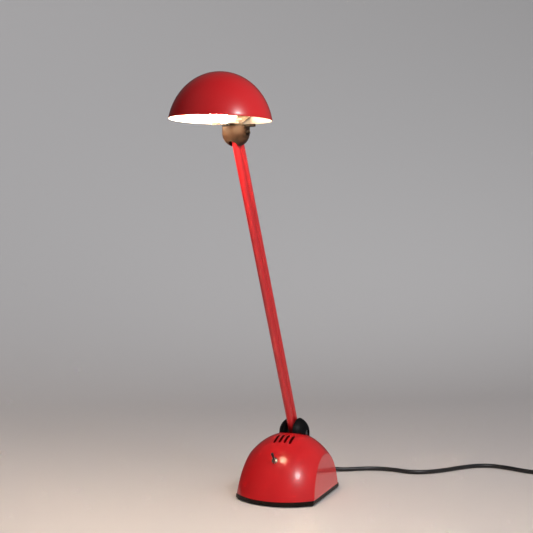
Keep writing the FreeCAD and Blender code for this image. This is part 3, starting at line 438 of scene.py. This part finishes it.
def lathe(name, profile, segments, place, mats, row_mats=None):
    """Turn a profile of (radius, height) in mm about the local Z axis; a radius of 0 makes a pole."""
    verts = []
    rows = []
    for radius, height in profile:
        if radius < POLE_RADIUS:
            rows.append([len(verts)] * segments)
            verts.append(place @ Vector((0, 0, height * MM)))
            continue
        rows.append(list(range(len(verts), len(verts) + segments)))
        for i in range(segments):
            angle = 2 * math.pi * i / segments
            verts.append(place @ Vector((radius * math.cos(angle) * MM, radius * math.sin(angle) * MM,
                                         height * MM)))
    faces = []
    picks = []
    for r in range(len(rows) - 1):
        for i in range(segments):
            j = (i + 1) % segments
            corners = [rows[r][i], rows[r][j], rows[r + 1][j], rows[r + 1][i]]
            loop = [c for k, c in enumerate(corners) if c != corners[k - 1]]
            faces.append(loop)
            picks.append(row_mats[r] if row_mats else 0)
    return mesh_piece(name, verts, faces, mats, picks)


# the bowl is the top of an egg, wide and tall from its centre, cut off at its rim
SHADE_WIDE = 54.1
SHADE_TALL = 59.8
SHADE_CUT = 10.9
SHADE_RIM_UP = 10.6
SHADE_AHEAD = 31.6
SHADE_WALL = 1.0
SHADE_STEPS = 48
SHADE_SEGMENTS = 128
BEAD_HALF = 0.4
BEAD_STEPS = 8
RED_BEAD_ROWS = 5
SHADE_PLACE = LAMP @ Matrix.Translation((0, -SHADE_AHEAD * MM, (SHADE_RIM_UP - SHADE_CUT) * MM))


def egg_profile(inset, low):
    """A quarter of an egg shape, inset by a wall, from a height in mm up to its pole."""
    wide = SHADE_WIDE - inset
    tall = SHADE_TALL - inset
    start = math.asin(low / tall)
    turns = [start + (math.pi / 2 - start) * i / SHADE_STEPS for i in range(SHADE_STEPS)]
    return [(wide * math.cos(turn), tall * math.sin(turn)) for turn in turns] + [(0, tall)]


def shade_piece():
    """The bowl: red outside down to the rim's bead, white inside."""
    edge_z = SHADE_CUT + BEAD_HALF
    outer = egg_profile(0, edge_z)
    inner = egg_profile(SHADE_WALL, edge_z)
    edge_r = outer[0][0] - SHADE_WALL / 2
    bead = []
    for i in range(1, BEAD_STEPS):
        angle = -math.pi * i / BEAD_STEPS
        bead.append((edge_r + SHADE_WALL / 2 * math.cos(angle), edge_z + BEAD_HALF * math.sin(angle)))
    profile = list(reversed(outer)) + bead + inner
    red_rows = SHADE_STEPS + RED_BEAD_ROWS
    row_mats = [0 if r < red_rows else 1 for r in range(len(profile) - 1)]
    piece = lathe("shade_bowl", profile, SHADE_SEGMENTS, SHADE_PLACE, [red_enamel, shade_white], row_mats)
    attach(piece, "head")
    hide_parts("shade")


shade_piece()


# ---------------------------------------------------------------- small turned and moulded pieces

BULB_SEAT = (0, -0.015, 0.0091)
BULB_TILT = math.radians(7.3)
BULB_PLACE = HEAD @ Matrix.Translation(BULB_SEAT) @ Matrix.Rotation(BULB_TILT, 4, "X")
SWITCH_LEAN = math.radians(47.1)
LEVER_LEAN = math.radians(-9)
TOGGLE = (Matrix.Translation(Vector(joint("switch_flip")["pos_m"])) @ Matrix.Rotation(SWITCH_LEAN, 4, "X")
          @ Matrix.Rotation(LEVER_LEAN, 4, "X"))
LEVER_TIP = 11.18
LEVER_TIP_RADIUS = 1.58
KNOB_RIBS = 14
RIB_STEPS = 6
RIB_DEPTH = 0.16
RIVET_AXIS = Vector((0, 0.9355, 0.3534))
RIVET_SPREAD = 4.5
RIVET_BACK = 14.2
RIVET_UP = 22.9
FILAMENT_TURNS = 9
FILAMENT_TURN_STEPS = 10
FILAMENT_LONG = 4.6
FILAMENT_RADIUS = 0.62
FILAMENT_WIRE = 0.16
FILAMENT_SEAT = (0, -0.0267, 0.0064)
SUPPORT_ACROSS = 2.6
SUPPORT_FOOT = 8.6
SUPPORT_TOP = 2.5


def arc_points(centre, radius, start, end, steps):
    """Profile points (radius, height) in mm along an arc, its angles in degrees."""
    turns = [math.radians(start + (end - start) * i / steps) for i in range(steps + 1)]
    return [(centre[0] + radius * math.cos(t), centre[1] + radius * math.sin(t)) for t in turns]


def adopt(piece, body, slot, *nodes):
    """Let a piece move with a body, and stand for CAD nodes."""
    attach(piece, body)
    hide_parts(*nodes)


def joined(name, pieces):
    """Join several meshes into one piece."""
    bpy.context.view_layer.objects.active = pieces[0]
    for obj in scene.objects:
        obj.select_set(obj in pieces)
    bpy.ops.object.join()
    pieces[0].name = name
    pieces[0].data.name = name
    return pieces[0]


def toggle_lever():
    """A bat-shaped lever, swelling to a rounded tip."""
    profile = [(0, -2.9), (0.75, -2.7), (0.85, 0), (0.95, 1.2), (1.1, 3.5), (1.35, 6.5)]
    tip_centre = (0, LEVER_TIP - LEVER_TIP_RADIUS)
    profile += arc_points(tip_centre, LEVER_TIP_RADIUS, 0, 90, 8)[:-1] + [(0, LEVER_TIP)]
    bat = lathe("toggle_bat", profile, 32, TOGGLE, [black_plastic])
    adopt(bat, "switch_toggle", "black_plastic", "switch_lever")


def loft_faces(rows, count):
    """Faces between rows of points, closed round each row, and a flat face over both ends."""
    faces = []
    for r in range(rows - 1):
        for i in range(count):
            j = (i + 1) % count
            faces.append((r * count + i, r * count + j, (r + 1) * count + j, (r + 1) * count + i))
    faces.append(tuple(reversed(range(count))))
    faces.append(tuple((rows - 1) * count + i for i in range(count)))
    return faces


def head_screw_knob():
    """A small ribbed knob on the right of the joint cup: rings of height, radius and share of the ribs."""
    rings = [(12.6, 2.0, 0), (12.75, 2.3, 0), (13.0, 2.35, 1), (15.7, 2.35, 1), (16.1, 2.15, 0.4),
             (16.35, 1.7, 0)]
    steps = KNOB_RIBS * RIB_STEPS
    place = HEAD @ Matrix.Rotation(math.radians(90), 4, "Y")
    verts = []
    for height, radius, ribbed in rings:
        for i in range(steps):
            angle = 2 * math.pi * i / steps
            wave = radius - RIB_DEPTH * ribbed * (0.5 - 0.5 * math.cos(KNOB_RIBS * angle))
            spot = Vector((wave * math.cos(angle), wave * math.sin(angle), height))
            verts.append(place @ (spot * MM))
    knob = mesh_piece("ribbed_knob", verts, loft_faces(len(rings), steps), [tab_black])
    adopt(knob, "head", "black_plastic", "head_knob")


def rivets():
    """Two domed rivets through the back of the shade."""
    dome = [(0, 3.0), (1.45, 3.0), (1.5, 3.7), (2.25, 3.75), (2.28, 3.9)]
    dome += arc_points((0, 2.4), 2.72, 33, 90, 8)[:-1] + [(0, 5.05)]
    tail = [(0, -0.4), (1.3, -0.38), (2.1, 0), (2.25, 0.3), (2.25, 0.68), (1.5, 0.68), (1.5, 2.9), (0, 2.9)]
    turn = RIVET_AXIS.to_track_quat("Z", "Y").to_matrix().to_4x4()
    pieces = []
    for side in (-1, 1):
        foot = Vector((side * RIVET_SPREAD, RIVET_BACK, RIVET_UP)) * MM
        place = HEAD @ Matrix.Translation(foot) @ turn
        pieces.append(lathe(f"rivet_dome_{side}", dome, 40, place, [zinc]))
        pieces.append(lathe(f"rivet_tail_{side}", tail, 40, place, [zinc]))
    adopt(joined("domed_rivets", pieces), "head", "steel_screws", "shade_rivets")


def filament():
    """A coiled filament across the capsule, on two support wires."""
    points = [(-SUPPORT_ACROSS, SUPPORT_FOOT, 0), (-SUPPORT_ACROSS, SUPPORT_TOP, 0)]
    steps = FILAMENT_TURNS * FILAMENT_TURN_STEPS
    for i in range(steps + 1):
        share = i / steps
        angle = 2 * math.pi * FILAMENT_TURNS * share
        points.append((FILAMENT_LONG * (share - 0.5), FILAMENT_RADIUS * math.cos(angle),
                       FILAMENT_RADIUS * math.sin(angle)))
    points += [(SUPPORT_ACROSS, SUPPORT_TOP, 0), (SUPPORT_ACROSS, SUPPORT_FOOT, 0)]
    data = bpy.data.curves.new("filament_coil", "CURVE")
    data.dimensions = "3D"
    spline = data.splines.new("POLY")
    spline.points.add(len(points) - 1)
    shift = BULB_PLACE @ Matrix.Translation(FILAMENT_SEAT)
    for knot, place in zip(spline.points, points):
        knot.co = (*(shift @ (Vector(place) * MM)), 1)
    data.bevel_depth = FILAMENT_WIRE * MM
    data.bevel_resolution = 2
    data.materials.append(filament_glow)
    adopt(link(bpy.data.objects.new("filament_coil", data)), "head", "filament", "bulb_filament")


toggle_lever()
head_screw_knob()
rivets()
filament()


# ---------------------------------------------------------------- plug and cord tie

PLUG_FACE = -38
PLUG_SHOULDER = -29
PLUG_BACK = -14
PLUG_LOW = 0.05
PLUG_HIGH = 13.7
PLUG_EDGE = 2.2
PLUG_WIDE = 17.4
PLUG_WAIST = 13.2
SLEEVE_RIBS = 5
SLEEVE_FIRST = 1.4
SLEEVE_PITCH = 2.4
SLEEVE_GROOVE = 0.45
# the tie goes round all the coil's turns on the side away from the base
TIE_INNER = COIL_CENTRE[0] + 16.1
TIE_OUTER = COIL_CENTRE[0] + 41.2
TIE_LOW = 0.15
TIE_HIGH = 10.9
TIE_BULGE = 0.2
TIE_FLOOR = 0.1
TIE_HALF = 3.6
TIE_CREST = 3.9
TIE_THICK = 0.7
TIE_ROUND = 0.25


def rounded_slab(name, outline, low, high, edge, place, mat):
    """A slab with the given outline, its top and bottom edges rounded by insetting."""
    steps = 4
    levels = []
    for i in range(steps + 1):
        turn = math.pi / 2 * i / steps
        levels.append((edge * (1 - math.sin(turn)), low + edge * (1 - math.cos(turn))))
    levels += [(inset, low + high - level) for inset, level in reversed(levels)]
    count = len(outline)
    middle_x = sum(x for x, y in outline) / count
    middle_y = sum(y for x, y in outline) / count
    half_x = max(abs(x - middle_x) for x, y in outline)
    half_y = max(abs(y - middle_y) for x, y in outline)
    verts = []
    for inset, level in levels:
        for x, y in outline:
            spot = Vector((middle_x + (x - middle_x) * (1 - inset / half_x),
                           middle_y + (y - middle_y) * (1 - inset / half_y), level))
            verts.append(place @ (spot * MM))
    return mesh_piece(name, verts, loft_faces(len(levels), count), [mat])


def smooth_outline(corners, steps=6):
    """A closed quadratic spline through the middles of the corners' sides."""
    points = []
    for i, corner in enumerate(corners):
        before = Vector(corners[i - 1])
        after = Vector(corners[(i + 1) % len(corners)])
        here = Vector(corner)
        start = (before + here) / 2
        end = (here + after) / 2
        for k in range(steps):
            share = k / steps
            spot = start * (1 - share) ** 2 + here * 2 * share * (1 - share) + end * share ** 2
            points.append(tuple(spot))
    return points


def moulded_plug():
    """A flat two-pin plug: a waisted body, a collar where the cord enters, and ribs on the sleeve."""
    plug_x, plug_y, cord_height = TAIL[-1]
    place = Matrix.Translation(Vector((plug_x, plug_y, 0)) * MM)
    flank = [(PLUG_BACK, 10), (PLUG_BACK - 5, 12.6), (PLUG_SHOULDER + 2, PLUG_WAIST),
             (PLUG_SHOULDER - 2, PLUG_WIDE), (PLUG_FACE + 4, PLUG_WIDE + 0.1), (PLUG_FACE, PLUG_WIDE)]
    corners = [(x, -y) for x, y in reversed(flank)] + flank + [(PLUG_FACE - 0.2, 0)]
    slab = rounded_slab("plug_slab", smooth_outline(corners), PLUG_LOW, PLUG_HIGH, PLUG_EDGE, place,
                        black_plastic)
    turn = Matrix.Rotation(math.radians(-90), 4, "Y")
    along = place @ Matrix.Translation((0, 0, cord_height * MM)) @ turn
    sleeve = [(2.45, 0), (3.2, 0)]
    for i in range(SLEEVE_RIBS):
        start = SLEEVE_FIRST + SLEEVE_PITCH * i
        wide = 3.35 + 0.3 * i
        sleeve += [(wide - SLEEVE_GROOVE, start - 0.3), (wide, start), (wide, start + 1.3),
                   (wide - SLEEVE_GROOVE, start + 1.6)]
    sleeve += [(5.2, 13.4), (5.4, 15.5)]
    cuff = lathe("plug_sleeve", sleeve, 40, along, [black_plastic])
    adopt(joined("moulded_plug", [slab, cuff]), "base", "black_plastic", "plug_body")


def strap_tie():
    """A soft tie wound round the coil's turns."""
    middle_x = (TIE_INNER + TIE_OUTER) / 2
    middle_z = (TIE_LOW + TIE_HIGH) / 2
    corners = [(TIE_INNER, TIE_LOW), (TIE_INNER - TIE_BULGE, middle_z), (TIE_INNER, TIE_HIGH),
               (middle_x, TIE_HIGH + TIE_BULGE), (TIE_OUTER, TIE_HIGH), (TIE_OUTER + TIE_BULGE, middle_z),
               (TIE_OUTER, TIE_LOW), (middle_x, TIE_LOW)]
    ring = smooth_outline(corners, 8)
    middle = Vector((middle_x, middle_z))
    section = [(0, -TIE_HALF), (0, TIE_HALF), (TIE_ROUND, TIE_CREST), (TIE_THICK, TIE_HALF),
               (TIE_THICK, -TIE_HALF), (TIE_ROUND, -TIE_CREST)]
    verts = []
    for inset, along in section:
        for x, z in ring:
            spot = Vector((x, z))
            spot -= (spot - middle).normalized() * inset
            verts.append(Vector((spot[0], COIL_CENTRE[1] + along, max(spot[1], TIE_FLOOR))) * MM)
    count = len(ring)
    faces = []
    for r in range(len(section)):
        after = (r + 1) % len(section)
        for i in range(count):
            j = (i + 1) % count
            faces.append((r * count + i, r * count + j, after * count + j, after * count + i))
    adopt(mesh_piece("strap_tie", verts, faces, [rubber]), "base", "black_plastic", "cord_tie")


moulded_plug()
strap_tie()


# ---------------------------------------------------------------- room and light

FLOOR_RADIUS = 550
FLOOR_RING = 200
FLOOR_DROP = 0.0002
WALL_RADIUS = 4000
WALL_HEIGHT = 3200
WALL_RISE = 1300
ROOM_STEPS = 40
ROOM_SEGMENTS = 96


def room():
    """A pale round floor that curves up into a wall all the way round."""
    paper = material("floor_paper", (0.62, 0.61, 0.60), rough=0.85, spec=0.2)
    under = Matrix.Translation((0, 0, -FLOOR_DROP))
    floor = lathe("floor", [(0, 0), (FLOOR_RING, 0), (FLOOR_RADIUS, 0)], ROOM_SEGMENTS, under, [paper])
    sweep = []
    for i in range(ROOM_STEPS + 1):
        turn = math.pi / 2 * i / ROOM_STEPS
        sweep.append((FLOOR_RADIUS + (WALL_RADIUS - FLOOR_RADIUS) * math.sin(turn),
                      WALL_HEIGHT * (1 - math.cos(turn))))
    sweep.append((WALL_RADIUS, WALL_HEIGHT + WALL_RISE))
    wall = lathe("wall", sweep, ROOM_SEGMENTS, under, [paper])
    wall.visible_diffuse = False
    wall.visible_glossy = False
    wall.visible_shadow = False


room()

KEY_COLOR = (1.0, 0.97, 0.98)
KEY_PLACE = (0.46, -0.39, 0.62)
KEY_AIM = (-0.02, -0.1, 0.3)
KEY_POWER = 1.45
KEY_SIZE = 0.2
KEY_SHINE_POWER = 5.0
KEY_SHINE_SIZE = 0.12
KEY_HALO_POWER = 0.5
KEY_HALO_SIZE = 0.2
BULB_POWER = 3.3
BULB_COLOR = (1.0, 0.79, 0.56)
BULB_AT = (0, -0.0415, 0.0125)
BULB_SOFTNESS = 0.0035
GLOW_POWER = 0.32
GLOW_AT = (-0.016, -0.045, -0.004)
GLOW_SOFTNESS = 0.012
POOL_POWER = 3.8
POOL_COLOR = (1.0, 0.72, 0.56)
POOL_PLACE = (0.0, -0.40, 0.85)
POOL_AIM = (0.0, -0.40, 0)
POOL_SIZE = 0.6
BACKDROP_POWER = 14.0
BACKDROP_COLOR = (0.97, 0.98, 1.0)
BACKDROP_PLACE = (0.2, 0.6, 1.5)
BACKDROP_AIM = (-0.25, 1.43, 1.6)
BACKDROP_SIZE = 1
FILLS = [("fill_right", (1, 0, 0), (1.1, 1.07, 1.1)), ("fill_top", (0, 0, 1), (0.5, 0.5, 0.54)),
         ("fill_back", (0, 1, 0), (0.1, 0.1, 0.1)), ("fill_front", (0, -1, 0.3), (0.05, 0.05, 0.05))]
FILL_SPREAD = math.radians(110)
SKY = [((1, 0, 0), (0.20, 0.20, 0.21)), ((0, -1, 0), (0.15, 0.15, 0.15)), ((0, 0, 1), (0.07, 0.07, 0.07)),
       ((0, 1, 0), (0.05, 0.05, 0.05))]


def area_light(name, place, target, size, power, color):
    """A round light that is not seen itself."""
    data = bpy.data.lights.new(name, "AREA")
    data.shape = "ELLIPSE"
    data.size = size
    data.size_y = size
    data.energy = power
    data.color = color
    obj = link(bpy.data.objects.new(name, data))
    obj.location = place
    obj.visible_camera = False
    obj.rotation_euler = (Vector(target) - Vector(place)).to_track_quat("-Z", "Y").to_euler()
    return obj


def soft_sky(lobes):
    """A studio's soft light: broad lobes about a few directions."""
    world = bpy.data.worlds.new("world")
    scene.world = world
    world.use_nodes = True
    coords = node(world, "ShaderNodeTexCoord")
    total = None
    for direction, color in lobes:
        facing = node(world, "ShaderNodeVectorMath", operation="DOT_PRODUCT")
        facing.inputs[1].default_value = direction
        ahead = node(world, "ShaderNodeMath", operation="MAXIMUM")
        ahead.inputs[1].default_value = 0
        tint = node(world, "ShaderNodeVectorMath", operation="SCALE")
        tint.inputs[0].default_value = color
        wire(world, coords.outputs["Generated"], facing.inputs[0])
        wire(world, facing.outputs["Value"], ahead.inputs[0])
        wire(world, ahead.outputs["Value"], tint.inputs["Scale"])
        if total is None:
            total = tint
            continue
        added = node(world, "ShaderNodeVectorMath", operation="ADD")
        wire(world, total.outputs["Vector"], added.inputs[0])
        wire(world, tint.outputs["Vector"], added.inputs[1])
        total = added
    wire(world, total.outputs["Vector"], world.node_tree.nodes["Background"].inputs["Color"])


def soft_fill(name, source, color):
    """A very broad light from one side that leaves no highlight."""
    data = bpy.data.lights.new(name, "SUN")
    data.energy = max(color)
    data.color = [part / data.energy for part in color]
    data.angle = FILL_SPREAD
    obj = link(bpy.data.objects.new(name, data))
    obj.rotation_euler = (-Vector(source)).to_track_quat("-Z", "Y").to_euler()
    obj.visible_glossy = False


def head_light(name, place, radius, power, color):
    """A small light that moves with the shade."""
    data = bpy.data.lights.new(name, "POINT")
    data.energy = power
    data.shadow_soft_size = radius
    data.color = color
    obj = link(bpy.data.objects.new(name, data))
    obj.location = HEAD @ Vector(place)
    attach(obj, "head")
    return obj


for fill in FILLS:
    soft_fill(*fill)
soft_sky(SKY)

# the floor's warm pool and the wall's brightness reach nothing else
stage_only = bpy.data.collections.new("stage_only")
stage_only.objects.link(scene.objects["floor"])
stage_only.objects.link(scene.objects["wall"])
pool = area_light("pool", POOL_PLACE, POOL_AIM, POOL_SIZE, POOL_POWER, POOL_COLOR)
backdrop = area_light("backdrop", BACKDROP_PLACE, BACKDROP_AIM, BACKDROP_SIZE, BACKDROP_POWER,
                      BACKDROP_COLOR)
for lamp in (pool, backdrop):
    lamp.visible_glossy = False
    lamp.light_linking.receiver_collection = stage_only

# the key lights the lamp; its highlight is a bright middle in a wider halo
key = area_light("key", KEY_PLACE, KEY_AIM, KEY_SIZE, KEY_POWER, KEY_COLOR)
key.visible_glossy = False
for name, size, power in (("key_shine", KEY_SHINE_SIZE, KEY_SHINE_POWER),
                          ("key_halo", KEY_HALO_SIZE, KEY_HALO_POWER)):
    shine = area_light(name, KEY_PLACE, KEY_AIM, size, power, KEY_COLOR)
    shine.visible_diffuse = False

head_light("bulb_light", BULB_AT, BULB_SOFTNESS, BULB_POWER, BULB_COLOR)
rim_glow = head_light("rim_glow", GLOW_AT, GLOW_SOFTNESS, GLOW_POWER, BULB_COLOR)
rim_glow.visible_glossy = False
